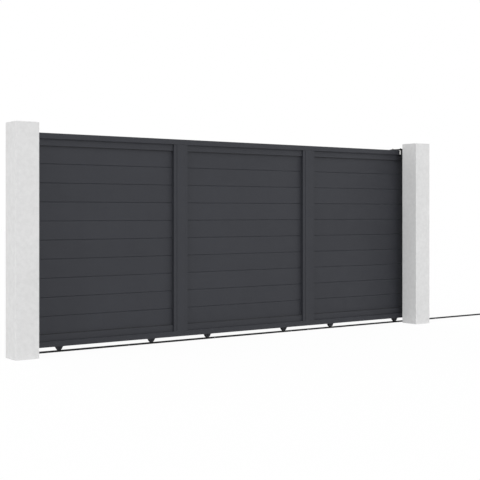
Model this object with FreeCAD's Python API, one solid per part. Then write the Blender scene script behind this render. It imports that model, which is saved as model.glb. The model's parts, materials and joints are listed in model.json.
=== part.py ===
import FreeCAD, Part
import math
import os

# Sliding driveway gate, closed. Lengths are in millimetres and angles in degrees.
# Origin: middle of the left pillar's base. X runs along the gate, towards the side that the leaf
# slides to. Y runs from the street into the drive. Z is up.

# Driveway and pillars
OPENING = 4000.0             # clear width between the pillars
PILLAR_SIDE = 190.0          # width and depth of a pillar
PILLAR_RISE = 60.0           # pillar's top above the leaf's
PILLAR_ARRIS = 4.0           # rounding of the rendered edges

# Clearances
MOVING_CLEARANCE = 5.0       # air between a moving piece and what it passes
SEAT_CLEARANCE = 0.3         # air where a piece slides or drops into its seat
RUNNING_FIT = 0.05           # radial play of a wheel or roller on its pin

# Leaf frame: hollow extrusions, with a set-back lip on each stile towards its panel
BAY_NAMES = ("left", "middle", "right")
LEAF_DEPTH = 80.0            # front face to back face
LEAF_OVERLAP = 42.0          # length of the closed leaf behind the left pillar
LEAF_TAIL = 281.0            # length of the closed leaf past the right pillar's inner face
RAIL_FACE = 44.0             # height of the top and bottom rails
STILE_FACE = 78.0            # width of a stile's proud face
STILE_LIP = 30.0             # width of its lip
STILE_STEP = 3.0             # depth of the lip behind the proud face
FRAME_WALL = 2.5
FRAME_EDGE = 2.0             # rounding of the frame's long edges
CAP_THICKNESS = 3.0          # plastic caps on the end stiles

# Slats: hollow tongue-and-groove boards with a rib inside, stacked in channels above and below
SLATS_PER_PANEL = 10
SLAT_PITCH = 150.0
SLAT_THICKNESS = 20.0
SLAT_WALL = 1.6
SLAT_BEVEL = 3.0             # bevel along each joint, which makes the V groove
TONGUE_WIDTH = 6.0
TONGUE_HEIGHT = 8.0
SLAT_INSERT = 12.0           # length of a slat's end inside the stile
CHANNEL_FACE = 54.0          # height of a channel
CHANNEL_DEPTH = 48.0         # front to back
CHANNEL_WALL = 2.0
SLAT_COVER = 8.0             # height of a slat's edge inside a channel

# Ground rail: a base strip with a round-topped bar
RAIL_NAMES = ("left", "middle", "right")
GROUND_BASE_WIDTH = 50.0
GROUND_BASE_THICKNESS = 3.0
CROWN_WIDTH = 10.0
CROWN_STEM = 4.0             # straight sides of the bar below its round top
ANCHOR_HOLE = 8.0
ANCHOR_SPACING = 36.0        # between the two holes of a pair, across the bar
ANCHOR_END = 100.0           # from a section's end to its first pair
ANCHOR_PAIRS = 4             # pairs in one section

# Wheels and their carriers, two under each bay
LEAF_GAP = 33.0              # rail top to the leaf's underside
FIRST_WHEEL_INSET = 226.0    # panel's left end to its first wheel's axle
SECOND_WHEEL_INSET = 203.0   # its second wheel's axle to the panel's right end
TREAD_RADIUS = 16.0          # at the bottom of the groove
FLANGE_RADIUS = 20.5
RIM_WIDTH = 16.0
RIM_INNER_RADIUS = 13.5
WEB_WIDTH = 8.0
HUB_RADIUS = 8.0
GROOVE_PLAY = 0.5            # groove radius over the rail's crown radius
AXLE_DIAMETER = 8.0
CHEEK_THICKNESS = 3.0
CHEEK_TOP = 58.0             # width of a cheek where it hangs from its plate
CHEEK_BOTTOM = 31.0
CHEEK_CORNER = 7.0
CARRIER_LENGTH = 82.0        # plate under the bottom rail
CARRIER_PLATE = 4.0
CARRIER_HOLE = 6.6           # for the screws that hold the plate to the bottom rail
CARRIER_HOLE_INSET = 8.0     # from each end of the plate
AXLE_HEX = 13.0              # across the flats of an axle's head and nut
AXLE_HEAD = 4.0

# Guide at the right pillar: a rolled angle with a nylon roller on each side of the leaf
ROLLER_DIAMETER = 20.0
ROLLER_LENGTH = 42.0
ROLLER_DROP = 1.0            # roller's top below the leaf's
ROLLER_CHAMFER = 1.5
ROLLER_INSET = 17.0          # roller axis past the angle's end
GUIDE_PROUD = 12.0           # angle's end past the pillar's inner face, into the opening
GUIDE_STANDOFF = 12.0        # angle's leg to the front roller
GUIDE_PIN_DIAMETER = 10.0
GUIDE_STUD_DIAMETER = 8.0    # upper end of the pin, through the angle
GUIDE_COLLAR = 14.0          # diameter of the shoulder under the angle
GUIDE_HEAD = 15.0            # diameter of the head under the roller
GUIDE_HEAD_HEIGHT = 4.0
GUIDE_WASHER = 20.0
GUIDE_WASHER_THICKNESS = 1.6
GUIDE_HEX = 13.0
GUIDE_NUT_HEIGHT = 5.0
GUIDE_WIDTH = 70.0           # angle along the gate
GUIDE_THICKNESS = 7.0        # of its leg on the pillar and of its plate over the leaf
GUIDE_ROOT = 6.0             # rounding between leg and plate
GUIDE_TOE = 3.5              # rounding of the two free edges, on the inside
GUIDE_LEG_HEIGHT = 94.0
GUIDE_HEADROOM = 6.0         # leaf top to the plate
GUIDE_MARGIN = 14.0          # plate past the back roller
GUIDE_SLOT = 8.0             # play of a roller's stud across the leaf, for setting it
GUIDE_HOLE = 11.0
GUIDE_HOLE_INSET = 48.0      # wall holes past the angle's end
GUIDE_HOLE_LOW = 20.0        # lower wall hole above the leg's end
GUIDE_HOLE_PITCH = 40.0

# Receiver behind the left pillar, which takes the leaf's leading edge
RECEIVER_PLATE = 6.0
RECEIVER_HEIGHT = 160.0
RECEIVER_LOW = 950.0         # its lower end above the ground
RECEIVER_REACH = 62.0        # length of its two flanges
RECEIVER_FOOT = 90.0         # length of its foot on the pillar
RECEIVER_FLARE = 26.0        # length of the splayed mouth
RECEIVER_SPLAY = 10.0        # outward lean of the mouth
RECEIVER_FOLD = 5.0          # inner radius of its folds
RECEIVER_HOLE = 11.0
RECEIVER_HOLE_INSET = 30.0   # holes from the foot's free end
RECEIVER_HOLE_PITCH = 100.0
BUFFER_THICKNESS = 10.0
BUFFER_WIDTH = 60.0
BUFFER_EDGE = 3.0

# Stop at the far end of the ground rail
STOP_LENGTH = 110.0
STOP_WIDTH = 100.0
STOP_PLATE = 8.0
STOP_HEIGHT = 118.0
STOP_UPRIGHT_WIDTH = 80.0
STOP_SETBACK = 25.0          # upright behind the rail's end
STOP_HOLE = 11.0
STOP_HOLE_INSET = 14.0
GUSSET_LENGTH = 60.0
GUSSET_SPACING = 48.0
STOP_BUFFER_HEIGHT = 50.0
STOP_BUFFER_WIDTH = 60.0

# Places that follow from the sizes above
V = FreeCAD.Vector
BAYS = len(BAY_NAMES)
RIGHT_PILLAR_X = OPENING + PILLAR_SIDE
PILLAR_INNER = PILLAR_SIDE / 2
PILLAR_BACK = PILLAR_SIDE / 2
GUIDE_END_X = RIGHT_PILLAR_X - PILLAR_INNER - GUIDE_PROUD

LEAF_FRONT = PILLAR_BACK + GUIDE_THICKNESS + GUIDE_STANDOFF + ROLLER_DIAMETER + MOVING_CLEARANCE
LEAF_MID = LEAF_FRONT + LEAF_DEPTH / 2
LEAF_BACK = LEAF_FRONT + LEAF_DEPTH
LEAF_LEFT = PILLAR_INNER - LEAF_OVERLAP
END_STILE = STILE_FACE + STILE_LIP
INNER_STILE = STILE_FACE + 2 * STILE_LIP
LEAF_LENGTH = LEAF_OVERLAP + OPENING + LEAF_TAIL
LEAF_RIGHT = LEAF_LEFT + LEAF_LENGTH
PANEL_WIDTH = (LEAF_LENGTH - 2 * END_STILE - (BAYS - 1) * INNER_STILE) / BAYS
BAY_PITCH = PANEL_WIDTH + INNER_STILE
TRAVEL = OPENING

CROWN_RADIUS = CROWN_WIDTH / 2
GROUND_RAIL_TOP = GROUND_BASE_THICKNESS + CROWN_STEM + CROWN_RADIUS
GROUND_RAIL_LENGTH = LEAF_LENGTH + TRAVEL
GROUND_RAIL_END = LEAF_LEFT + GROUND_RAIL_LENGTH

LEAF_BOTTOM = GROUND_RAIL_TOP + LEAF_GAP
LOWER_CHANNEL_Z = LEAF_BOTTOM + RAIL_FACE
SLATS_Z = LOWER_CHANNEL_Z + CHANNEL_FACE - SLAT_COVER
UPPER_CHANNEL_Z = SLATS_Z + SLATS_PER_PANEL * SLAT_PITCH - SLAT_COVER
TOP_RAIL_Z = UPPER_CHANNEL_Z + CHANNEL_FACE
LEAF_TOP = TOP_RAIL_Z + RAIL_FACE
PILLAR_HEIGHT = LEAF_TOP + PILLAR_RISE

SLOT_WIDTH = SLAT_THICKNESS + 2 * SEAT_CLEARANCE
SLOT_DEPTH = SLAT_INSERT + MOVING_CLEARANCE / 2
AXLE_Z = GROUND_RAIL_TOP + SEAT_CLEARANCE + TREAD_RADIUS
CHEEK_INNER = RIM_WIDTH / 2 + MOVING_CLEARANCE
WHEEL_SLOT_LENGTH = 2 * (FLANGE_RADIUS + MOVING_CLEARANCE)

ROLLER_X = GUIDE_END_X + ROLLER_INSET
ROLLER_OFFSET = MOVING_CLEARANCE + ROLLER_DIAMETER / 2
ROLLER_YS = (LEAF_FRONT - ROLLER_OFFSET, LEAF_BACK + ROLLER_OFFSET)
ROLLER_TOP = LEAF_TOP - ROLLER_DROP
GUIDE_PLATE_Z = LEAF_TOP + GUIDE_HEADROOM
GUIDE_TOP = GUIDE_PLATE_Z + GUIDE_THICKNESS


def box(x0, x1, y0, y1, z0, z1):
    return Part.makeBox(x1 - x0, y1 - y0, z1 - z0, V(x0, y0, z0))


def outline(points):
    return Part.makePolygon(points + points[:1])


def inset(points, distance):
    """The corners of an outline moved inwards, so that each side moves by the distance."""
    facing = V()
    for number, point in enumerate(points):
        facing += points[number - 1].cross(point)
    facing.normalize()
    moved = []
    for number, point in enumerate(points):
        following = points[(number + 1) % len(points)]
        inward_before = facing.cross((point - points[number - 1]).normalize())
        inward_after = facing.cross((following - point).normalize())
        share = distance / (1 + inward_before.dot(inward_after))
        moved.append(point + (inward_before + inward_after) * share)
    return moved


def hollow(points, wall, ribs=()):
    """Section of an extrusion whose wall has one thickness all round, with any ribs across it."""
    inside = Part.Face(outline(inset(points, wall)))
    for rib in ribs:
        inside = inside.cut(rib)
    return Part.Face(outline(points)).cut(inside)


def rod(radius, start, end):
    along = end - start
    return Part.makeCylinder(radius, along.Length, start, along)


def hexagon(flats, start, end):
    """Hexagonal prism on the axis from start to end, which runs along Y or Z."""
    along = end - start
    corner = V(flats / math.sqrt(3), 0, 0)
    points = []
    for angle in range(0, 360, 60):
        points.append(start + FreeCAD.Rotation(along, angle).multVec(corner))
    return Part.Face(outline(points)).extrude(along)


def edges_along(solid, direction):
    edges = []
    for edge in solid.Edges:
        run = edge.Vertexes[-1].Point - edge.Vertexes[0].Point
        if run.cross(direction).Length < Part.Precision.confusion():
            edges.append(edge)
    return edges


def soften(solid, direction, radius):
    """Rounds the edges along the direction that bound the leaf's front and back faces."""
    edges = []
    for edge in edges_along(solid, direction):
        y = edge.Vertexes[0].Y
        if min(abs(y - LEAF_FRONT), abs(y - LEAF_BACK)) < Part.Precision.confusion():
            edges.append(edge)
    return solid.makeFillet(radius, edges)


def round_corners(solid, direction, corners, radius):
    """Rounds the edges that run along the direction from the given corners."""
    edges = []
    for edge in edges_along(solid, direction):
        ends = [vertex.Point for vertex in edge.Vertexes]
        if any(end.isEqual(corner, Part.Precision.confusion()) for end in ends for corner in corners):
            edges.append(edge)
    return solid.makeFillet(radius, edges)


def pillar(x):
    half = PILLAR_SIDE / 2
    shaft = box(x - half, x + half, -half, half, 0, PILLAR_HEIGHT)
    arrises = [edge for edge in shaft.Edges if edge.CenterOfMass.z > 0]
    return shaft.makeFillet(PILLAR_ARRIS, arrises)


def ground_rail(number):
    """One section of the rail, with pairs of anchor holes along its base strip."""
    length = GROUND_RAIL_LENGTH / len(RAIL_NAMES)
    x = LEAF_LEFT + number * length
    half = GROUND_BASE_WIDTH / 2
    spring = GROUND_BASE_THICKNESS + CROWN_STEM

    def at(y, z):
        return V(x, LEAF_MID + y, z)

    base = [
        at(-CROWN_RADIUS, spring),
        at(-CROWN_RADIUS, GROUND_BASE_THICKNESS),
        at(-half, GROUND_BASE_THICKNESS),
        at(-half, 0),
        at(half, 0),
        at(half, GROUND_BASE_THICKNESS),
        at(CROWN_RADIUS, GROUND_BASE_THICKNESS),
        at(CROWN_RADIUS, spring),
    ]
    crown = Part.Arc(base[-1], at(0, GROUND_RAIL_TOP), base[0]).toShape()
    section = Part.Face(Part.Wire(Part.makePolygon(base).Edges + [crown]))
    rail = section.extrude(V(length, 0, 0))
    pitch = (length - 2 * ANCHOR_END) / (ANCHOR_PAIRS - 1)
    for pair in range(ANCHOR_PAIRS):
        for side in (-1, 1):
            foot = V(x + ANCHOR_END + pair * pitch, LEAF_MID + side * ANCHOR_SPACING / 2, 0)
            top = foot + V(0, 0, GROUND_BASE_THICKNESS)
            rail = rail.cut(rod(ANCHOR_HOLE / 2, foot, top))
    return rail


def bay_left(bay):
    return LEAF_LEFT + END_STILE + bay * BAY_PITCH


def wheel_places():
    """X of each wheel axle, from left to right."""
    places = []
    for bay in range(BAYS):
        places.append(bay_left(bay) + FIRST_WHEEL_INSET)
        places.append(bay_left(bay) + PANEL_WIDTH - SECOND_WHEEL_INSET)
    return places


def frame_rail(z):
    """Top or bottom rail: a rectangular tube between the end stiles."""
    x = LEAF_LEFT + END_STILE
    corners = [(LEAF_FRONT, z), (LEAF_BACK, z), (LEAF_BACK, z + RAIL_FACE), (LEAF_FRONT, z + RAIL_FACE)]
    section = hollow([V(x, y, height) for y, height in corners], FRAME_WALL)
    tube = section.extrude(V(LEAF_LENGTH - 2 * END_STILE, 0, 0))
    return soften(tube, V(1, 0, 0), FRAME_EDGE)


def bottom_rail():
    """The lower rail, with a slot in its underside over each wheel."""
    rail = frame_rail(LEAF_BOTTOM)
    reach = WHEEL_SLOT_LENGTH / 2
    for x in wheel_places():
        slot = box(x - reach, x + reach, LEAF_MID - CHEEK_INNER, LEAF_MID + CHEEK_INNER,
                   LEAF_BOTTOM, LEAF_BOTTOM + FRAME_WALL)
        rail = rail.cut(slot)
    return rail


def stile_side(root, side):
    """One side of a stile in plan, front to back: its lip with the slot for the slats' ends."""
    tip = root + side * STILE_LIP
    floor = tip - side * SLOT_DEPTH
    slot_front = LEAF_MID - SLOT_WIDTH / 2
    slot_back = LEAF_MID + SLOT_WIDTH / 2
    lip_front = LEAF_FRONT + STILE_STEP
    lip_back = LEAF_BACK - STILE_STEP
    return [(root, LEAF_FRONT), (root, lip_front), (tip, lip_front), (tip, slot_front),
            (floor, slot_front), (floor, slot_back), (tip, slot_back), (tip, lip_back),
            (root, lip_back), (root, LEAF_BACK)]


def inner_stile_plan(x):
    """Plan of a stile with a lip on both sides of its proud face, which starts at x."""
    right = stile_side(x + STILE_FACE, 1)
    left = stile_side(x, -1)
    return right + left[::-1]


def end_stile_plan():
    """Plan of the left end stile: a lip on its right, and a plain end on its left."""
    right = stile_side(LEAF_LEFT + STILE_FACE, 1)
    return right + [(LEAF_LEFT, LEAF_BACK), (LEAF_LEFT, LEAF_FRONT)]


def stile(plan, z0, z1):
    section = hollow([V(x, y, z0) for x, y in plan], FRAME_WALL)
    return soften(section.extrude(V(0, 0, z1 - z0)), V(0, 0, 1), FRAME_EDGE)


def other_end(shape):
    """The same piece at the other end of the leaf."""
    middle = (LEAF_LEFT + LEAF_RIGHT) / 2
    return shape.mirror(V(middle, 0, 0), V(1, 0, 0))


def end_caps():
    """Caps on the tops and feet of the two end stiles."""
    caps = []
    for z in (LEAF_BOTTOM, LEAF_TOP - CAP_THICKNESS):
        plan = outline([V(x, y, z) for x, y in end_stile_plan()])
        cap = soften(Part.Face(plan).extrude(V(0, 0, CAP_THICKNESS)), V(0, 0, 1), FRAME_EDGE)
        caps.append(cap)
        caps.append(other_end(cap))
    return Part.makeCompound(caps)


def slat(x, z):
    """One hollow slat: a groove along its foot takes the tongue of the slat below.

    A rib half-way up ties its two faces together.
    """
    half = SLAT_THICKNESS / 2
    tongue = TONGUE_WIDTH / 2
    groove = tongue + SEAT_CLEARANCE
    top = z + SLAT_PITCH - SEAT_CLEARANCE
    groove_top = z + TONGUE_HEIGHT
    right = [
        (groove, groove_top),
        (groove, z),
        (half - SLAT_BEVEL, z),
        (half, z + SLAT_BEVEL),
        (half, top - SLAT_BEVEL),
        (half - SLAT_BEVEL, top),
        (tongue, top),
        (tongue, top + TONGUE_HEIGHT - SEAT_CLEARANCE),
    ]
    left = [(-y, height) for y, height in right[::-1]]
    points = [V(x, LEAF_MID + y, height) for y, height in right + left]
    rib_low = z + (SLAT_PITCH - SLAT_WALL) / 2
    rib_high = rib_low + SLAT_WALL
    rib = [(-half, rib_low), (half, rib_low), (half, rib_high), (-half, rib_high)]
    rib_face = Part.Face(outline([V(x, LEAF_MID + y, height) for y, height in rib]))
    section = hollow(points, SLAT_WALL, [rib_face])
    return section.extrude(V(PANEL_WIDTH + 2 * SLAT_INSERT, 0, 0))


def panel(bay):
    """The stack of slats in one bay."""
    x = bay_left(bay) - SLAT_INSERT
    slats = [slat(x, SLATS_Z + number * SLAT_PITCH) for number in range(SLATS_PER_PANEL)]
    return Part.makeCompound(slats)


def channel(bay, rail_z, up, slot_depth):
    """A channel against a rail, with its slot for the slats on the side that faces the panel."""
    half = CHANNEL_DEPTH / 2
    slot = SLOT_WIDTH / 2
    mouth = rail_z + up * CHANNEL_FACE
    floor = mouth - up * slot_depth
    right = [(half, rail_z), (half, mouth), (slot, mouth), (slot, floor)]
    left = [(-y, z) for y, z in right[::-1]]
    x = bay_left(bay)
    section = hollow([V(x, LEAF_MID + y, z) for y, z in right + left], CHANNEL_WALL)
    return section.extrude(V(PANEL_WIDTH, 0, 0))


def lower_channels():
    return Part.makeCompound([channel(bay, LOWER_CHANNEL_Z, 1, SLAT_COVER) for bay in range(BAYS)])


def upper_channels():
    depth = SLAT_COVER + TONGUE_HEIGHT
    return Part.makeCompound([channel(bay, TOP_RAIL_Z, -1, depth) for bay in range(BAYS)])


def carrier(x):
    """A plate screwed under the bottom rail, with two tapered cheeks that hold a wheel's axle."""
    plate_z = LEAF_BOTTOM - CARRIER_PLATE
    foot_z = GROUND_RAIL_TOP + MOVING_CLEARANCE
    half_width = CHEEK_INNER + CHEEK_THICKNESS
    plate = box(x - CARRIER_LENGTH / 2, x + CARRIER_LENGTH / 2, LEAF_MID - half_width,
                LEAF_MID + half_width, plate_z, LEAF_BOTTOM)
    reach = WHEEL_SLOT_LENGTH / 2
    plate = plate.cut(box(x - reach, x + reach, LEAF_MID - CHEEK_INNER, LEAF_MID + CHEEK_INNER,
                          plate_z, LEAF_BOTTOM))
    cheeks = []
    for y in (LEAF_MID - CHEEK_INNER - CHEEK_THICKNESS, LEAF_MID + CHEEK_INNER):
        corners = [
            V(x - CHEEK_TOP / 2, y, plate_z),
            V(x - CHEEK_BOTTOM / 2, y, foot_z),
            V(x + CHEEK_BOTTOM / 2, y, foot_z),
            V(x + CHEEK_TOP / 2, y, plate_z),
        ]
        cheek = Part.Face(outline(corners)).extrude(V(0, CHEEK_THICKNESS, 0))
        lower = [edge for edge in cheek.Edges
                 if edge.BoundBox.ZMax < foot_z + Part.Precision.confusion()
                 and edge.BoundBox.YLength > CHEEK_THICKNESS / 2]
        cheeks.append(cheek.makeFillet(CHEEK_CORNER, lower))
    body = plate.fuse(cheeks).removeSplitter()
    bores = [rod(AXLE_DIAMETER / 2 + RUNNING_FIT, V(x, LEAF_FRONT, AXLE_Z), V(x, LEAF_BACK, AXLE_Z))]
    for side in (-1, 1):
        foot = V(x + side * (CARRIER_LENGTH / 2 - CARRIER_HOLE_INSET), LEAF_MID, plate_z)
        bores.append(rod(CARRIER_HOLE / 2, foot, foot + V(0, 0, CARRIER_PLATE)))
    return body.cut(bores)


def axle(x):
    """Wheel bolt through both cheeks, with a hexagon head at the front and its nut at the back."""
    front = LEAF_MID - CHEEK_INNER - CHEEK_THICKNESS
    back = LEAF_MID + CHEEK_INNER + CHEEK_THICKNESS
    shank = rod(AXLE_DIAMETER / 2, V(x, front, AXLE_Z), V(x, back, AXLE_Z))
    head = hexagon(AXLE_HEX, V(x, front - AXLE_HEAD, AXLE_Z), V(x, front, AXLE_Z))
    nut = hexagon(AXLE_HEX, V(x, back, AXLE_Z), V(x, back + AXLE_HEAD, AXLE_Z))
    return shank.fuse([head, nut]).removeSplitter()


def wheel(x):
    """Grooved wheel: hub, web and a rim whose groove straddles the rail's round crown."""
    bore = AXLE_DIAMETER / 2 + RUNNING_FIT
    hub_half = CHEEK_INNER - SEAT_CLEARANCE
    groove_radius = CROWN_RADIUS + GROOVE_PLAY
    groove_middle = TREAD_RADIUS + groove_radius
    groove_half = math.sqrt(groove_radius ** 2 - (groove_middle - FLANGE_RADIUS) ** 2)

    def at(radius, width):
        return V(x + radius, LEAF_MID + width, AXLE_Z)

    upper = [
        at(FLANGE_RADIUS, groove_half),
        at(FLANGE_RADIUS, RIM_WIDTH / 2),
        at(RIM_INNER_RADIUS, RIM_WIDTH / 2),
        at(RIM_INNER_RADIUS, WEB_WIDTH / 2),
        at(HUB_RADIUS, WEB_WIDTH / 2),
        at(HUB_RADIUS, hub_half),
        at(bore, hub_half),
    ]
    lower = [
        at(bore, -hub_half),
        at(HUB_RADIUS, -hub_half),
        at(HUB_RADIUS, -WEB_WIDTH / 2),
        at(RIM_INNER_RADIUS, -WEB_WIDTH / 2),
        at(RIM_INNER_RADIUS, -RIM_WIDTH / 2),
        at(FLANGE_RADIUS, -RIM_WIDTH / 2),
        at(FLANGE_RADIUS, -groove_half),
    ]
    groove = Part.Arc(lower[-1], at(TREAD_RADIUS, 0), upper[0]).toShape()
    section = Part.Face(Part.Wire(Part.makePolygon(upper + lower).Edges + [groove]))
    return section.revolve(V(x, LEAF_MID, AXLE_Z), V(0, 1, 0), 360)


def roller_slot(y):
    """Slot in the angle's plate that lets a roller's stud be set nearer to the leaf or further off."""
    radius = GUIDE_STUD_DIAMETER / 2 + RUNNING_FIT
    half = GUIDE_SLOT / 2
    middle = box(ROLLER_X - radius, ROLLER_X + radius, y - half, y + half, GUIDE_PLATE_Z, GUIDE_TOP)
    ends = []
    for end in (y - half, y + half):
        ends.append(rod(radius, V(ROLLER_X, end, GUIDE_PLATE_Z), V(ROLLER_X, end, GUIDE_TOP)))
    return middle.fuse(ends)


def guide_bracket():
    """Rolled angle on the right pillar's back: a leg with two wall holes, and a plate over the leaf."""
    along = V(GUIDE_WIDTH, 0, 0)
    low = GUIDE_TOP - GUIDE_LEG_HEIGHT
    back = ROLLER_YS[1] + ROLLER_DIAMETER / 2 + GUIDE_MARGIN

    def at(y, z):
        return V(GUIDE_END_X, y, z)

    leg_toe = at(PILLAR_BACK + GUIDE_THICKNESS, low)
    root = at(PILLAR_BACK + GUIDE_THICKNESS, GUIDE_PLATE_Z)
    plate_toe = at(back, GUIDE_PLATE_Z)
    heel = at(PILLAR_BACK, GUIDE_TOP)
    corners = [at(PILLAR_BACK, low), leg_toe, root, plate_toe, at(back, GUIDE_TOP), heel]
    bracket = Part.Face(outline(corners)).extrude(along)
    bracket = round_corners(bracket, along, [root], GUIDE_ROOT)
    bracket = round_corners(bracket, along, [leg_toe, plate_toe], GUIDE_TOE)
    for y in ROLLER_YS:
        bracket = bracket.cut(roller_slot(y))
    lower_hole = low + GUIDE_HOLE_LOW
    for z in (lower_hole, lower_hole + GUIDE_HOLE_PITCH):
        start = at(PILLAR_BACK, z) + V(GUIDE_HOLE_INSET, 0, 0)
        bracket = bracket.cut(rod(GUIDE_HOLE / 2, start, start + V(0, GUIDE_THICKNESS, 0)))
    return bracket


def guide_pin(y):
    """Shouldered pin that hangs from the angle's plate by a washer and nut, and carries one roller."""
    head_z = ROLLER_TOP - ROLLER_LENGTH - SEAT_CLEARANCE
    collar_z = ROLLER_TOP + SEAT_CLEARANCE
    nut_z = GUIDE_TOP + GUIDE_WASHER_THICKNESS

    def on_axis(z):
        return V(ROLLER_X, y, z)

    head = rod(GUIDE_HEAD / 2, on_axis(head_z - GUIDE_HEAD_HEIGHT), on_axis(head_z))
    journal = rod(GUIDE_PIN_DIAMETER / 2, on_axis(head_z), on_axis(collar_z))
    collar = rod(GUIDE_COLLAR / 2, on_axis(collar_z), on_axis(GUIDE_PLATE_Z))
    stud = rod(GUIDE_STUD_DIAMETER / 2, on_axis(GUIDE_PLATE_Z), on_axis(GUIDE_TOP))
    washer = rod(GUIDE_WASHER / 2, on_axis(GUIDE_TOP), on_axis(nut_z))
    nut = hexagon(GUIDE_HEX, on_axis(nut_z), on_axis(nut_z + GUIDE_NUT_HEIGHT))
    return head.fuse([journal, collar, stud, washer, nut]).removeSplitter()


def guide_roller(y):
    low = V(ROLLER_X, y, ROLLER_TOP - ROLLER_LENGTH)
    high = V(ROLLER_X, y, ROLLER_TOP)
    drum = rod(ROLLER_DIAMETER / 2, low, high)
    rims = [edge for edge in drum.Edges if edge.BoundBox.ZLength < ROLLER_CHAMFER]
    drum = drum.makeChamfer(ROLLER_CHAMFER, rims)
    return drum.cut(rod(GUIDE_PIN_DIAMETER / 2 + RUNNING_FIT, low, high))


def receiver_web():
    """X of the receiver's web, on the side that faces the leaf."""
    return LEAF_LEFT - MOVING_CLEARANCE - BUFFER_THICKNESS


def closing_receiver():
    """Folded plate: a foot on the pillar, a web across the leaf's end and a splayed flange on each side."""
    web = receiver_web()
    web_back = web - RECEIVER_PLATE
    tip = web + RECEIVER_REACH
    knee = tip - RECEIVER_FLARE
    foot_end = web - RECEIVER_FOOT
    foot_top = PILLAR_BACK + RECEIVER_PLATE
    front = LEAF_FRONT - MOVING_CLEARANCE
    back = LEAF_BACK + MOVING_CLEARANCE
    front_outer = front - RECEIVER_PLATE
    back_outer = back + RECEIVER_PLATE
    upward = V(0, 0, RECEIVER_HEIGHT)

    def at(x, y):
        return V(x, y, RECEIVER_LOW)

    plan = [
        at(foot_end, PILLAR_BACK),
        at(web, PILLAR_BACK),
        at(web, front_outer),
        at(knee, front_outer),
        at(tip, front_outer - RECEIVER_SPLAY),
        at(tip, front - RECEIVER_SPLAY),
        at(knee, front),
        at(web, front),
        at(web, back),
        at(knee, back),
        at(tip, back + RECEIVER_SPLAY),
        at(tip, back_outer + RECEIVER_SPLAY),
        at(knee, back_outer),
        at(web_back, back_outer),
        at(web_back, foot_top),
        at(foot_end, foot_top),
    ]
    receiver = Part.Face(outline(plan)).extrude(upward)
    outside = [at(web, PILLAR_BACK), at(web_back, back_outer)]
    inside = [at(web_back, foot_top), at(web, back)]
    receiver = round_corners(receiver, upward, outside, RECEIVER_FOLD + RECEIVER_PLATE)
    receiver = round_corners(receiver, upward, inside, RECEIVER_FOLD)
    middle = RECEIVER_LOW + RECEIVER_HEIGHT / 2
    for side in (-1, 1):
        start = V(foot_end + RECEIVER_HOLE_INSET, PILLAR_BACK, middle + side * RECEIVER_HOLE_PITCH / 2)
        receiver = receiver.cut(rod(RECEIVER_HOLE / 2, start, start + V(0, RECEIVER_PLATE, 0)))
    return receiver


def closing_buffer():
    web = receiver_web()
    half = BUFFER_WIDTH / 2
    block = box(web, web + BUFFER_THICKNESS, LEAF_MID - half, LEAF_MID + half,
                RECEIVER_LOW, RECEIVER_LOW + RECEIVER_HEIGHT)
    return block.makeFillet(BUFFER_EDGE, block.Faces[1].Edges)


def parking_stop():
    """Ground plate past the rail's end with an upright plate and two gussets behind it."""
    x0 = GROUND_RAIL_END
    upright_x = x0 + STOP_SETBACK
    back_x = upright_x + STOP_PLATE
    base = box(x0, x0 + STOP_LENGTH, LEAF_MID - STOP_WIDTH / 2, LEAF_MID + STOP_WIDTH / 2, 0, STOP_PLATE)
    half = STOP_UPRIGHT_WIDTH / 2
    upright = box(upright_x, back_x, LEAF_MID - half, LEAF_MID + half, STOP_PLATE, STOP_HEIGHT)
    gussets = []
    for side in (-1, 1):
        y = LEAF_MID + side * GUSSET_SPACING / 2 - STOP_PLATE / 2
        corners = [
            V(back_x, y, STOP_PLATE),
            V(back_x + GUSSET_LENGTH, y, STOP_PLATE),
            V(back_x, y, STOP_HEIGHT),
        ]
        gussets.append(Part.Face(outline(corners)).extrude(V(0, STOP_PLATE, 0)))
    stop = base.fuse([upright] + gussets).removeSplitter()
    for x in (x0 + STOP_HOLE_INSET, x0 + STOP_LENGTH - STOP_HOLE_INSET):
        for side in (-1, 1):
            start = V(x, LEAF_MID + side * (STOP_WIDTH / 2 - STOP_HOLE_INSET), 0)
            stop = stop.cut(rod(STOP_HOLE / 2, start, start + V(0, 0, STOP_PLATE)))
    return stop


def parking_buffer():
    """Rubber block on the stop, level with the leaf's bottom rail."""
    x0 = GROUND_RAIL_END + MOVING_CLEARANCE
    x1 = GROUND_RAIL_END + STOP_SETBACK
    half = STOP_BUFFER_WIDTH / 2
    z = LEAF_BOTTOM + RAIL_FACE / 2 - STOP_BUFFER_HEIGHT / 2
    block = box(x0, x1, LEAF_MID - half, LEAF_MID + half, z, z + STOP_BUFFER_HEIGHT)
    return block.makeFillet(BUFFER_EDGE, block.Faces[0].Edges)


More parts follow.
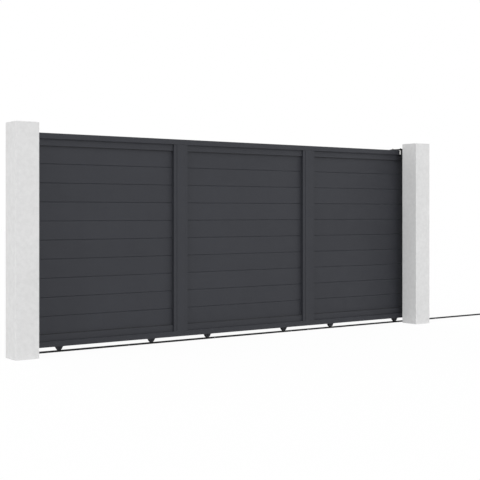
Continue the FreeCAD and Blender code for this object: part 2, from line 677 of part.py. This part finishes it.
def build():
    """Every piece of the gate, by name."""
    pieces = {
        "left_pillar": pillar(0),
        "right_pillar": pillar(RIGHT_PILLAR_X),
        "guide_bracket": guide_bracket(),
        "guide_pins": Part.makeCompound([guide_pin(y) for y in ROLLER_YS]),
        "front_guide_roller": guide_roller(ROLLER_YS[0]),
        "back_guide_roller": guide_roller(ROLLER_YS[1]),
        "closing_receiver": closing_receiver(),
        "closing_buffer": closing_buffer(),
        "parking_stop": parking_stop(),
        "parking_buffer": parking_buffer(),
        "top_rail": frame_rail(TOP_RAIL_Z),
        "bottom_rail": bottom_rail(),
        "end_caps": end_caps(),
        "upper_channels": upper_channels(),
        "lower_channels": lower_channels(),
        "wheel_axles": Part.makeCompound([axle(x) for x in wheel_places()]),
    }
    for number, name in enumerate(RAIL_NAMES):
        pieces[name + "_ground_rail"] = ground_rail(number)
    end_stile = stile(end_stile_plan(), LEAF_BOTTOM + CAP_THICKNESS, LEAF_TOP - CAP_THICKNESS)
    pieces["left_end_stile"] = end_stile
    pieces["right_end_stile"] = other_end(end_stile)
    for number, name in enumerate(("left", "right")):
        plan = inner_stile_plan(bay_left(number) + PANEL_WIDTH + STILE_LIP)
        pieces[name + "_inner_stile"] = stile(plan, LOWER_CHANNEL_Z, TOP_RAIL_Z)
    for bay, name in enumerate(BAY_NAMES):
        pieces[name + "_slats"] = panel(bay)
    for number, x in enumerate(wheel_places(), 1):
        pieces[f"wheel_carrier_{number}"] = carrier(x)
        pieces[f"wheel_{number}"] = wheel(x)
    return pieces


os.makedirs("parts", exist_ok=True)
for name, shape in build().items():
    shape.exportStep(f"parts/{name}.step")
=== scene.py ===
import json
import math

import bmesh
import bpy
from mathutils import Matrix, Vector


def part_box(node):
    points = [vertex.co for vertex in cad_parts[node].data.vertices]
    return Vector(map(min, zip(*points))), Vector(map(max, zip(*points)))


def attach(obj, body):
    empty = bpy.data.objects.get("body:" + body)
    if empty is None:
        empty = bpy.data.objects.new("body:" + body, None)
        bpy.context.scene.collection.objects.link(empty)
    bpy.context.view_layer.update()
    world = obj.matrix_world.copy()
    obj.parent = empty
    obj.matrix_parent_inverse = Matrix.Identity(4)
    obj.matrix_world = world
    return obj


# Sliding driveway gate, closed. Lengths are in metres and angles in degrees.
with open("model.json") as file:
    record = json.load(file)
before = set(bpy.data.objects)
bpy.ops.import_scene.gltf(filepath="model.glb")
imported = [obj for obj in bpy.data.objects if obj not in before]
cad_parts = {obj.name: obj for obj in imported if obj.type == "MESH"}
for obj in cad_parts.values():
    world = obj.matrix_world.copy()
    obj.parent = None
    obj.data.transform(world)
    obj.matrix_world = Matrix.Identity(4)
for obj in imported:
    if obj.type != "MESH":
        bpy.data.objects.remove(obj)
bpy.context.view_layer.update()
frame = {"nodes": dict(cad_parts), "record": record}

# Camera of the photograph: level, seen from the front and the left
PICTURE_SIDE = 480           # pixels
FOCAL_LENGTH = 1012.93       # pixels
HORIZON_ROW = 212.39         # pixels below the picture's top edge
SENSOR_WIDTH = 36.0          # millimetres
CAMERA_PLACE = (-3.1400, -7.1761, 1.1025)
CAMERA_TURN = 35.757         # to the right of the gate's own normal

# Light: a white dome, with soft suns from the front, from both sides and from behind
DOME_STRENGTH = 0.51
SUN_SPREAD = 40
FRONT_SUN = (0, 32, 0.57)    # turn to the left of the gate's own normal, height, strength
LEFT_SUN = (75, 47, 1.2)
RIGHT_SUN = (-70, 30, 0.63)
BACK_SUN = (190, 30, 0.55)
FLOOR_RADIUS = 60.0
FLOOR_SIDES = 96
FLOOR_DROP = 0.0005          # floor below the part's base
FLOOR_COLOR = 0.9
FLOOR_WHITE = 0.95           # share of the floor's own white where it is seen

# Colours: red, green and blue, in linear light
RENDER_GREY = (0.72, 0.72, 0.72)
FRAME_ANTHRACITE = (0.0318, 0.0335, 0.0404)
SLAT_ANTHRACITE = (0.0314, 0.0331, 0.0399)
STEEL_BLACK = (0.012, 0.0122, 0.0135)
WHEEL_BLACK = (0.022, 0.022, 0.024)
ZINC_GREY = (0.52, 0.53, 0.55)
NYLON_WHITE = (0.8, 0.8, 0.78)
MOULDED_BLACK = (0.019, 0.019, 0.02)

# Sizes of the part that its boxes don't give
RAIL_STRIP = 0.003           # thickness of the ground rail's base strip
ANCHOR_PAIRS = 4             # pairs of anchor holes in a rail section
SLAT_PITCH = 0.150           # one slat's joint to the next
CARRIER_PLATE = 0.004
CARRIER_HOLE_INSET = 0.008   # screw holes from each end of a wheel carrier's plate
GUIDE_LEG = 0.007            # thickness of the guide's leg on the pillar
GUIDE_HOLE_INSET = 0.048     # its wall holes from its end
GUIDE_HOLE_HEIGHTS = (0.020, 0.060)
RECEIVER_PLATE = 0.006
RECEIVER_HOLE_INSET = 0.030
RECEIVER_HOLE_PITCH = 0.100
STOP_PLATE = 0.008
STOP_HOLE_INSET = 0.014
STOP_SETBACK = 0.025         # upright behind the stop's front edge
STOP_UPRIGHT_WIDTH = 0.080
GUSSET_LENGTH = 0.060
GUSSET_SPACING = 0.048
SLAT_SLOT_DEPTH = 0.0145     # slot for the slats' ends in an end stile and its caps
SLAT_SLOT_WIDTH = 0.0206
CAP_THICKNESS = 0.003

# Small fasteners. A profile holds shares of the radius and the height, from the seat up.
PAN_PROFILE = ((1, 0), (1, 0.35), (0.93, 0.72), (0.74, 0.95), (0.5, 1), (0.42, 0.94), (0.38, 0.45))
WASHER_PROFILE = ((1, 0), (1, 0.75), (0.97, 1))
HEX_PROFILE = ((1, 0), (1, 0.86), (0.88, 1))
SCREW_RADIUS = 0.0062
SCREW_HEIGHT = 0.0032
BOLT_FLATS = 0.016
BOLT_HEIGHT = 0.007
BOLT_WASHER = 0.0125         # radius
ANCHOR_FLATS = 0.011
ANCHOR_HEIGHT = 0.006
ANCHOR_WASHER = 0.0075       # radius
WASHER_THICKNESS = 0.002
FASTENER_SIDES = 32
HEX_SIDES = 6

# Rubber beads where the slats go into their channels, weld beads on the stop, plugs in the end caps
BEAD_RADIUS = 0.003
BEAD_STEPS = 5
WELD_RADIUS = 0.0036
WELD_RIPPLE = 0.0005         # each weld ripple's height
WELD_STEP = 0.0014           # half of a ripple's length
WELD_END = 0.010             # weld's end from a gusset's tip
PLUG_GAP = 0.0002
PLUG_EDGE = 0.0008
PLUG_EDGE_STEPS = 3


def add_camera():
    data = bpy.data.cameras.new("photo_camera")
    data.sensor_width = SENSOR_WIDTH
    data.lens = FOCAL_LENGTH / PICTURE_SIDE * SENSOR_WIDTH
    data.shift_y = (HORIZON_ROW - PICTURE_SIDE / 2) / PICTURE_SIDE
    camera = bpy.data.objects.new("photo_camera", data)
    camera.location = CAMERA_PLACE
    camera.rotation_euler = (math.radians(90), 0, math.radians(-CAMERA_TURN))
    bpy.context.collection.objects.link(camera)
    bpy.context.scene.camera = camera


def connect(tree, node, inputs):
    """Sets a node's inputs to values, or links them to other nodes' outputs."""
    for name, value in inputs.items():
        if isinstance(value, bpy.types.NodeSocket):
            tree.links.new(value, node.inputs[name])
        else:
            node.inputs[name].default_value = value


def add_node(tree, kind, inputs=None, **settings):
    """A new node with its settings and inputs."""
    node = tree.nodes.new(kind)
    for name, value in settings.items():
        setattr(node, name, value)
    connect(tree, node, inputs or {})
    return node


def place(tree, stretch=(1, 1, 1), shift=(0, 0, 0)):
    """The point on the surface, in metres, stretched along each axis and then shifted."""
    point = add_node(tree, "ShaderNodeTexCoord").outputs["Object"]
    inputs = {"Vector": point, "Scale": stretch, "Location": shift}
    return add_node(tree, "ShaderNodeMapping", inputs).outputs["Vector"]


def noise(tree, grain, detail=2.0, stretch=(1, 1, 1)):
    """Noise with grains of about that size in metres."""
    inputs = {"Vector": place(tree, stretch), "Scale": 1 / grain, "Detail": detail}
    return add_node(tree, "ShaderNodeTexNoise", inputs).outputs["Fac"]


def spread(tree, value, low, high, start=0.3, end=0.7):
    """A value from low to high, as the given one goes from start to end."""
    inputs = {"Value": value, "From Min": start, "From Max": end, "To Min": low, "To Max": high}
    return add_node(tree, "ShaderNodeMapRange", inputs).outputs["Result"]


def math_node(tree, operation, first, second):
    return add_node(tree, "ShaderNodeMath", {0: first, 1: second}, operation=operation).outputs[0]


def tint(tree, color, brightness):
    """The colour times a brightness."""
    inputs = {0: color, "Scale": brightness}
    return add_node(tree, "ShaderNodeVectorMath", inputs, operation="SCALE").outputs["Vector"]


def bump(tree, height, depth, over=None):
    """Normal of a surface with that relief, over a coarser one where it is given."""
    inputs = {"Height": height, "Distance": depth, "Strength": 1.0}
    if over:
        inputs["Normal"] = over
    return add_node(tree, "ShaderNodeBump", inputs).outputs["Normal"]


def new_material(name):
    """A new node material, with its tree and its Principled shader."""
    material = bpy.data.materials.new(name)
    material.use_nodes = True
    tree = material.node_tree
    return material, tree, tree.nodes["Principled BSDF"]


def render_coat(name, color):
    """Smooth mineral render: patchy mottling, sand grains and a few trowel waves."""
    material, tree, shader = new_material(name)
    brightness = spread(tree, noise(tree, grain=0.035, detail=4.0), low=0.96, high=1.04)
    clouds = spread(tree, noise(tree, grain=0.4), low=0.985, high=1.015)
    sand = noise(tree, grain=0.0024)
    specks = spread(tree, sand, low=0.98, high=1.02)
    for layer in (clouds, specks):
        brightness = math_node(tree, "MULTIPLY", brightness, layer)
    trowel = noise(tree, grain=0.11, detail=1.0, stretch=(1, 1, 0.35))
    connect(tree, shader, {
        "Base Color": tint(tree, color, brightness),
        "Roughness": spread(tree, sand, low=0.82, high=0.95),
        "Specular IOR Level": 0.2,
        "Normal": bump(tree, sand, depth=0.0006, over=bump(tree, trowel, depth=0.001)),
    })
    return material


def slat_tones(tree):
    """A number from 0 to 1 for each slat."""
    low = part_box("left_slats")[0]
    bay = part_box("middle_slats")[0].x - low.x
    point = place(tree, (1 / bay, 0, 1 / SLAT_PITCH), (-low.x / bay, 0, -low.z / SLAT_PITCH))
    number = add_node(tree, "ShaderNodeVectorMath", {0: point}, operation="FLOOR").outputs["Vector"]
    return add_node(tree, "ShaderNodeTexWhiteNoise", {"Vector": number}).outputs["Value"]


def powder_coat(name, color, per_slat=False):
    """Anthracite powder coat: fine-textured grain over very soft waves, a little uneven in gloss."""
    material, tree, shader = new_material(name)
    brightness = spread(tree, noise(tree, grain=0.4, detail=3.0), low=0.96, high=1.04)
    if per_slat:
        tones = spread(tree, slat_tones(tree), low=0.975, high=1.025, start=0, end=1)
        brightness = math_node(tree, "MULTIPLY", brightness, tones)
    grain = noise(tree, grain=0.0011, detail=1.0)
    wave = noise(tree, grain=0.012, detail=1.0)
    connect(tree, shader, {
        "Base Color": tint(tree, color, brightness),
        "Roughness": spread(tree, noise(tree, grain=0.09, detail=3.0), low=0.48, high=0.6),
        "Specular IOR Level": 0.25,
        "Normal": bump(tree, grain, depth=0.00012, over=bump(tree, wave, depth=0.00015)),
    })
    return material


def dark_coat(name, color, roughness):
    """Dark paint or oxide on steel: rolled grain, with patches a little more worn than others."""
    material, tree, shader = new_material(name)
    patches = noise(tree, grain=0.05, detail=4.0)
    grain = noise(tree, grain=0.0016)
    connect(tree, shader, {
        "Base Color": tint(tree, color, spread(tree, patches, low=0.75, high=1.3)),
        "Roughness": spread(tree, patches, low=roughness - 0.08, high=roughness + 0.1),
        "Specular IOR Level": 0.2,
        "Normal": bump(tree, grain, depth=0.00015),
    })
    return material


def plated_steel(name, color, roughness):
    """Zinc-plated steel with fine scratches and soft stains."""
    material, tree, shader = new_material(name)
    stain = noise(tree, grain=0.012, detail=4.0)
    scratch = noise(tree, grain=0.0009, detail=3.0, stretch=(1, 0.15, 1))
    connect(tree, shader, {
        "Base Color": tint(tree, color, spread(tree, stain, low=0.8, high=1.1)),
        "Metallic": 1.0,
        "Roughness": spread(tree, scratch, low=roughness - 0.08, high=roughness + 0.1),
        "Normal": bump(tree, scratch, depth=0.00006),
    })
    return material


def nylon(name, color):
    """Off-white cast nylon, faintly cloudy, with fine turning rings."""
    material, tree, shader = new_material(name)
    cloud = noise(tree, grain=0.02)
    rings = noise(tree, grain=0.0016, detail=1.0, stretch=(0.1, 0.1, 1))
    connect(tree, shader, {
        "Base Color": tint(tree, color, spread(tree, cloud, low=0.96, high=1.02)),
        "Roughness": spread(tree, rings, low=0.34, high=0.46),
        "Normal": bump(tree, rings, depth=0.00008),
    })
    return material


def moulded(name, color, roughness, texture):
    """Rubber or moulded plastic with a fine matte texture of that size."""
    material, tree, shader = new_material(name)
    cloud = noise(tree, grain=0.03, detail=3.0)
    grain = noise(tree, grain=texture)
    connect(tree, shader, {
        "Base Color": tint(tree, color, spread(tree, cloud, low=0.85, high=1.2)),
        "Roughness": spread(tree, cloud, low=roughness - 0.06, high=roughness + 0.06),
        "Specular IOR Level": 0.3,
        "Normal": bump(tree, grain, depth=0.00012),
    })
    return material


def slot_materials():
    """One finished material for each material slot of the record."""
    return {
        "pillar_render": render_coat("pillar_render", RENDER_GREY),
        "frame_coating": powder_coat("frame_coating", FRAME_ANTHRACITE),
        "slat_coating": powder_coat("slat_coating", SLAT_ANTHRACITE, per_slat=True),
        "cap_plastic": moulded("cap_plastic", MOULDED_BLACK, roughness=0.5, texture=0.0008),
        "dark_steel": dark_coat("dark_steel", STEEL_BLACK, roughness=0.5),
        "zinc_steel": plated_steel("zinc_steel", ZINC_GREY, roughness=0.34),
        "wheel_steel": dark_coat("wheel_steel", WHEEL_BLACK, roughness=0.42),
        "white_nylon": nylon("white_nylon", NYLON_WHITE),
        "black_rubber": moulded("black_rubber", MOULDED_BLACK, roughness=0.72, texture=0.0014),
    }


def finish_cad_nodes(materials):
    """Gives every CAD node the finished material of its slot."""
    for part in frame["record"]["subparts"]:
        node = frame["nodes"][part["node"]]
        for slot in node.material_slots:
            slot.material = materials[part["material_slot"]]


def new_piece(name, mesh, body, slot, materials):
    """Turns a bmesh into a piece that rides on a body."""
    bmesh.ops.recalc_face_normals(mesh, faces=mesh.faces)
    data = bpy.data.meshes.new(name)
    mesh.to_mesh(data)
    mesh.free()
    data.materials.append(materials[slot])
    piece = bpy.data.objects.new(name, data)
    bpy.context.collection.objects.link(piece)
    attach(piece, body)


def join_rings(mesh, rings):
    """Adds the faces of a closed solid through rings of like points, with flat ends."""
    for lower, upper in zip(rings, rings[1:]):
        for step in range(len(lower)):
            after = (step + 1) % len(lower)
            mesh.faces.new((lower[step], lower[after], upper[after], upper[step]))
    mesh.faces.new(rings[0][::-1])
    mesh.faces.new(rings[-1])


def lathe(mesh, base, axis, profile, radius, height, sides):
    """Adds a closed solid of revolution of that radius and height, which stands on the base."""
    turn = Vector((0, 0, 1)).rotation_difference(Vector(axis)).to_matrix().to_4x4()
    to_place = Matrix.Translation(base) @ turn
    rings = []
    for out, up in profile:
        ring = []
        for step in range(sides):
            angle = 2 * math.pi * step / sides
            point = Vector((out * radius * math.cos(angle), out * radius * math.sin(angle), up * height))
            ring.append(mesh.verts.new(to_place @ point))
        rings.append(ring)
    join_rings(mesh, rings)


def add_screw(mesh, base, axis):
    """Low pan-head screw with a round-cornered rim and a driver recess."""
    lathe(mesh, base, axis, PAN_PROFILE, SCREW_RADIUS, SCREW_HEIGHT, FASTENER_SIDES)


def add_bolt(mesh, base, axis, flats, height, washer):
    """Hexagon bolt head with a chamfered top, on a flat washer."""
    lathe(mesh, base, axis, WASHER_PROFILE, washer, WASHER_THICKNESS, FASTENER_SIDES)
    seat = Vector(base) + Vector(axis) * WASHER_THICKNESS
    lathe(mesh, seat, axis, HEX_PROFILE, flats / math.sqrt(3), height, HEX_SIDES)


def leaf_bays():
    """Left and right end of each bay's panel, between its stiles."""
    stiles = ("left_end_stile", "left_inner_stile", "right_inner_stile", "right_end_stile")
    boxes = [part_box(stile) for stile in stiles]
    return [(left[1].x, right[0].x) for left, right in zip(boxes, boxes[1:])]


def corner_bead(mesh, start, end, first, second, radii):
    """Adds a quarter-round bead along a corner, from start to end.

    The first and second directions lead out of the corner along its two faces. The radii are the
    bead's at even steps along it.
    """
    run = (Vector(end) - Vector(start)) / (len(radii) - 1)
    rings = []
    for number, radius in enumerate(radii):
        corner = Vector(start) + number * run
        ring = [mesh.verts.new(corner)]
        for step in range(BEAD_STEPS + 1):
            angle = math.pi / 2 * step / BEAD_STEPS
            out = math.cos(angle) * Vector(first) + math.sin(angle) * Vector(second)
            ring.append(mesh.verts.new(corner + radius * out))
        rings.append(ring)
    join_rings(mesh, rings)


def add_beads(materials):
    """Rubber beads in the corners between the slats and their channels."""
    slat_low, slat_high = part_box("left_slats")
    mouths = ((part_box("upper_channels")[0].z, -1), (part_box("lower_channels")[1].z, 1))
    radii = (BEAD_RADIUS, BEAD_RADIUS)
    mesh = bmesh.new()
    for x0, x1 in leaf_bays():
        for z, up in mouths:
            for y, out in ((slat_low.y, -1), (slat_high.y, 1)):
                corner_bead(mesh, (x0, y, z), (x1, y, z), (0, out, 0), (0, 0, up), radii)
    new_piece("slat_beads", mesh, "leaf", "black_rubber", materials)


def add_weld(mesh, start, end, first, second):
    """Rippled weld bead along a corner."""
    steps = round((Vector(end) - Vector(start)).length / WELD_STEP)
    radii = [WELD_RADIUS + WELD_RIPPLE * (step % 2) for step in range(steps + 1)]
    corner_bead(mesh, start, end, first, second, radii)


def add_stop_welds(materials):
    """Welds at the foot of the parking stop's upright and along its two gussets."""
    low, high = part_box("parking_stop")
    middle = (low.y + high.y) / 2
    half = STOP_UPRIGHT_WIDTH / 2
    front = low.x + STOP_SETBACK
    back = front + STOP_PLATE
    tip = back + GUSSET_LENGTH - WELD_END
    base = STOP_PLATE
    top = high.z - WELD_END
    mesh = bmesh.new()
    add_weld(mesh, (front, middle - half, base), (front, middle + half, base), (-1, 0, 0), (0, 0, 1))
    for gusset in (-1, 1):
        for side in (-1, 1):
            y = middle + gusset * GUSSET_SPACING / 2 + side * STOP_PLATE / 2
            add_weld(mesh, (back, y, base), (tip, y, base), (0, side, 0), (0, 0, 1))
            add_weld(mesh, (back, y, base), (back, y, top), (0, side, 0), (1, 0, 0))
    new_piece("stop_welds", mesh, "installation", "dark_steel", materials)


def add_cap_plugs(materials):
    """Plugs that close the slats' slots in the end stiles' caps, above and below."""
    low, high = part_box("end_caps")
    middle = (low.y + high.y) / 2
    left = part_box("left_end_stile")[1].x - SLAT_SLOT_DEPTH / 2
    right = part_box("right_end_stile")[0].x + SLAT_SLOT_DEPTH / 2
    size = Vector((SLAT_SLOT_DEPTH - 2 * PLUG_GAP, SLAT_SLOT_WIDTH - 2 * PLUG_GAP, CAP_THICKNESS))
    mesh = bmesh.new()
    for x in (left, right):
        for z in (low.z + CAP_THICKNESS / 2, high.z - CAP_THICKNESS / 2):
            to_place = Matrix.LocRotScale((x, middle, z), None, size)
            bmesh.ops.create_cube(mesh, size=1.0, matrix=to_place)
    bmesh.ops.bevel(mesh, geom=mesh.edges[:], offset=PLUG_EDGE, segments=PLUG_EDGE_STEPS,
                    profile=0.5, affect="EDGES")
    new_piece("cap_plugs", mesh, "leaf", "cap_plastic", materials)


def add_rail_screws(materials):
    """A screw in every anchor hole of the ground rail."""
    mounts = {mount["name"]: mount for mount in frame["record"]["mounts"]}
    mesh = bmesh.new()
    for section in ("left", "middle", "right"):
        mount = mounts[section + "_rail_anchors"]
        run = mount["dims"]["spacing_x_mm"] / 1000
        gap = mount["dims"]["spacing_y_mm"] / 1000
        x, y, _ = mount["pos_m"]
        for pair in range(ANCHOR_PAIRS):
            along = x + run * (pair / (ANCHOR_PAIRS - 1) - 0.5)
            for side in (-0.5, 0.5):
                add_screw(mesh, (along, y + side * gap, RAIL_STRIP), (0, 0, 1))
    new_piece("rail_screws", mesh, "installation", "zinc_steel", materials)


def add_carrier_screws(materials):
    """Screws that hold the wheel carriers under the bottom rail."""
    carriers = sorted(name for name in frame["nodes"] if name.startswith("wheel_carrier"))
    mesh = bmesh.new()
    for low, high in map(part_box, carriers):
        for x in (low.x + CARRIER_HOLE_INSET, high.x - CARRIER_HOLE_INSET):
            add_screw(mesh, (x, (low.y + high.y) / 2, high.z - CARRIER_PLATE), (0, 0, -1))
    new_piece("carrier_screws", mesh, "leaf", "zinc_steel", materials)


def add_wall_bolts(materials):
    """Bolts that hold the guide and the receiver to the backs of the pillars."""
    mesh = bmesh.new()
    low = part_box("guide_bracket")[0]
    heads = []
    for height in GUIDE_HOLE_HEIGHTS:
        heads.append(low + Vector((GUIDE_HOLE_INSET, GUIDE_LEG, height)))
    low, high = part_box("closing_receiver")
    for side in (-0.5, 0.5):
        height = (high.z - low.z) / 2 + side * RECEIVER_HOLE_PITCH
        heads.append(low + Vector((RECEIVER_HOLE_INSET, RECEIVER_PLATE, height)))
    for head in heads:
        add_bolt(mesh, head, (0, 1, 0), BOLT_FLATS, BOLT_HEIGHT, BOLT_WASHER)
    new_piece("wall_bolts", mesh, "installation", "zinc_steel", materials)


def add_stop_anchors(materials):
    """Ground anchors in the corners of the parking stop's base."""
    low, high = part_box("parking_stop")
    mesh = bmesh.new()
    for x in (low.x + STOP_HOLE_INSET, high.x - STOP_HOLE_INSET):
        for y in (low.y + STOP_HOLE_INSET, high.y - STOP_HOLE_INSET):
            add_bolt(mesh, (x, y, STOP_PLATE), (0, 0, 1), ANCHOR_FLATS, ANCHOR_HEIGHT, ANCHOR_WASHER)
    new_piece("stop_anchors", mesh, "installation", "zinc_steel", materials)


def seen_rays(tree):
    """1 for rays that show a surface to the camera, also in gloss or glass, and 0 for plain light."""
    rays = add_node(tree, "ShaderNodeLightPath").outputs
    seen = rays["Is Camera Ray"]
    for other in ("Is Glossy Ray", "Is Transmission Ray"):
        seen = math_node(tree, "MAXIMUM", seen, rays[other])
    return seen


def add_dome():
    """Dome that is white where it is seen and lights the scene at its own strength."""
    world = bpy.data.worlds.new("white_dome")
    world.use_nodes = True
    tree = world.node_tree
    strength = spread(tree, seen_rays(tree), low=DOME_STRENGTH, high=1.0, start=0, end=1)
    connect(tree, tree.nodes["Background"], {"Color": (1, 1, 1, 1), "Strength": strength})
    bpy.context.scene.world = world


def add_sun(turn, height, strength):
    data = bpy.data.lights.new("soft_sun", "SUN")
    data.energy = strength
    data.angle = math.radians(SUN_SPREAD)
    sun = bpy.data.objects.new("soft_sun", data)
    sun.rotation_euler = (math.radians(90 - height), 0, math.radians(-turn))
    bpy.context.collection.objects.link(sun)


def floor_material():
    """White floor that keeps a faint shadow where it is seen, and is plain pale paint to other light."""
    material, tree, shader = new_material("floor")
    connect(tree, shader, {
        "Base Color": (FLOOR_COLOR, FLOOR_COLOR, FLOOR_COLOR, 1),
        "Roughness": 1.0,
        "Specular IOR Level": 0.0,
    })
    share = math_node(tree, "MULTIPLY", seen_rays(tree), FLOOR_WHITE)
    white = add_node(tree, "ShaderNodeEmission", {"Color": (1, 1, 1, 1), "Strength": 1.0}).outputs[0]
    mix = add_node(tree, "ShaderNodeMixShader", {0: share, 1: shader.outputs[0], 2: white})
    tree.links.new(mix.outputs[0], tree.nodes["Material Output"].inputs["Surface"])
    return material


def add_floor():
    mesh = bmesh.new()
    bmesh.ops.create_circle(mesh, cap_ends=True, segments=FLOOR_SIDES, radius=FLOOR_RADIUS)
    data = bpy.data.meshes.new("floor")
    mesh.to_mesh(data)
    mesh.free()
    data.materials.append(floor_material())
    floor = bpy.data.objects.new("floor", data)
    floor.location.z = -FLOOR_DROP
    bpy.context.collection.objects.link(floor)


# The scene: camera, light and floor, then the finishes and the added pieces
bpy.context.scene.view_settings.view_transform = "Standard"
add_camera()
add_dome()
for sun in (FRONT_SUN, LEFT_SUN, RIGHT_SUN, BACK_SUN):
    add_sun(*sun)
add_floor()
finished = slot_materials()
finish_cad_nodes(finished)
add_beads(finished)
add_rail_screws(finished)
add_carrier_screws(finished)
add_wall_bolts(finished)
add_stop_anchors(finished)
add_stop_welds(finished)
add_cap_plugs(finished)
